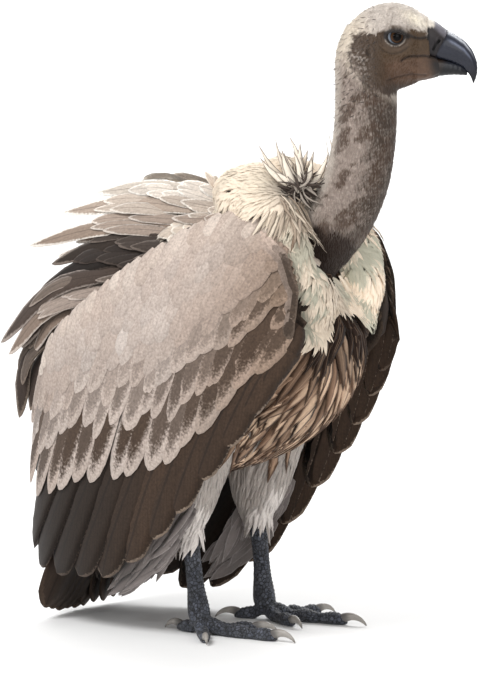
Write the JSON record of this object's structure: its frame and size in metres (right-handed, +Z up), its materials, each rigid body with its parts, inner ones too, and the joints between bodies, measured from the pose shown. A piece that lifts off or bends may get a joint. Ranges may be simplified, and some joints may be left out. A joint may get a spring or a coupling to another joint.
{
  "type": "white-backed vulture",
  "caption": "Life-size standing white-backed vulture, wings folded, neck raised, head turned to its left, feathers loose over the back.",
  "frame": {"origin": "on the floor, under the middle of the bird's bounding box", "axes": "+Z up, +X the way the bird's body faces, +Y its left side"},
  "size_m": [0.5068, 0.2678, 0.6676],
  "materials": {
    "pale_down": "loose, soft, cream-white down with greenish-grey shade",
    "grey_skin": "bare wrinkled skin under thin short down",
    "slate_horn": "smooth slate-black horn",
    "dark_cere": "dull dark skin",
    "eye": "wet dark brown eye",
    "belly_feather": "brown lance-shaped feathers with pale shafts",
    "covert_feather": "soft beige-grey feathers with paler edges",
    "flight_feather": "stiff blackish-brown quill feathers",
    "thigh_feather": "soft grey feathers",
    "scaly_skin": "dark blue-grey scaled skin",
    "claw_horn": "smooth grey horn"
  },
  "bodies": {
    "root": {"trunk": "belly_feather", "head": "grey_skin", "cere": "dark_cere", "bill_upper": "slate_horn", "bill_lower": "slate_horn", "eye_right": "eye", "eye_left": "eye", "neck_lower": "grey_skin", "neck_middle": "grey_skin", "neck_upper": "grey_skin", "ruff_right": "pale_down", "ruff_left": "pale_down", "mantle": "covert_feather", "scapulars_right": "covert_feather", "scapulars_left": "covert_feather", "undertail_coverts": "thigh_feather", "tail": "flight_feather", "wing_right_coverts": "covert_feather", "wing_right_secondaries": "flight_feather", "wing_right_primaries": "flight_feather", "thigh_right": "thigh_feather", "shank_right": "scaly_skin", "toe_right_inner": "scaly_skin", "claw_right_inner": "claw_horn", "toe_right_middle": "scaly_skin", "claw_right_middle": "claw_horn", "toe_right_outer": "scaly_skin", "claw_right_outer": "claw_horn", "toe_right_hind": "scaly_skin", "claw_right_hind": "claw_horn", "wing_left_coverts": "covert_feather", "wing_left_secondaries": "flight_feather", "wing_left_primaries": "flight_feather", "thigh_left": "thigh_feather", "shank_left": "scaly_skin", "toe_left_inner": "scaly_skin", "claw_left_inner": "claw_horn", "toe_left_middle": "scaly_skin", "claw_left_middle": "claw_horn", "toe_left_outer": "scaly_skin", "claw_left_outer": "claw_horn", "toe_left_hind": "scaly_skin", "claw_left_hind": "claw_horn"}
  },
  "joints": []
}
